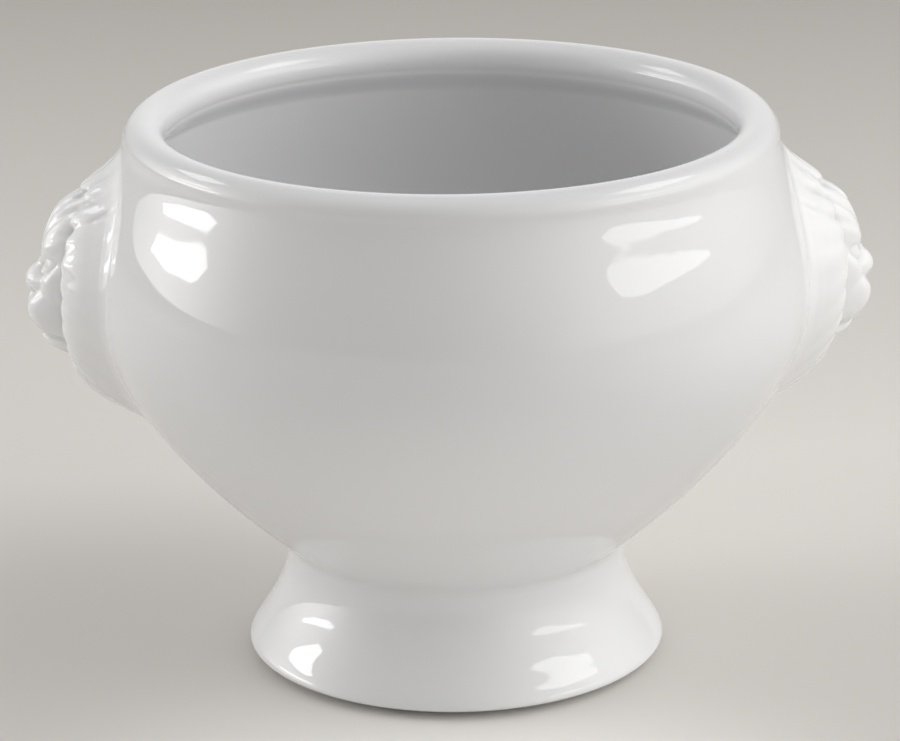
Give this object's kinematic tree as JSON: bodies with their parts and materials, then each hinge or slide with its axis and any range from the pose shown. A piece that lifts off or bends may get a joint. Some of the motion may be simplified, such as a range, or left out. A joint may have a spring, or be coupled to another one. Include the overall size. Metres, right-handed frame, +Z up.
{
  "type": "french onion soup crock",
  "caption": "White porcelain footed soup crock: a deep round bowl with a rolled rim on a short pedestal foot, with a lion's head in relief on each side as a grip.",
  "frame": {"origin": "centre of the foot on the surface that the crock stands on", "axes": "+Z up along the turning axis of the bowl and foot; +X towards the right lion head, -X towards the left one"},
  "size_m": [0.1575, 0.1332, 0.1042],
  "materials": {
    "bowl_glaze": "white feldspar glaze, high gloss",
    "foot_glaze": "white feldspar glaze, high gloss, wiped off the ring that stands on the table",
    "head_glaze": "white feldspar glaze, high gloss, pooled in the hollows of the relief"
  },
  "bodies": {
    "root": {"bowl": "bowl_glaze", "foot": "foot_glaze", "lion_head_left": "head_glaze", "lion_head_right": "head_glaze"}
  },
  "joints": []
}
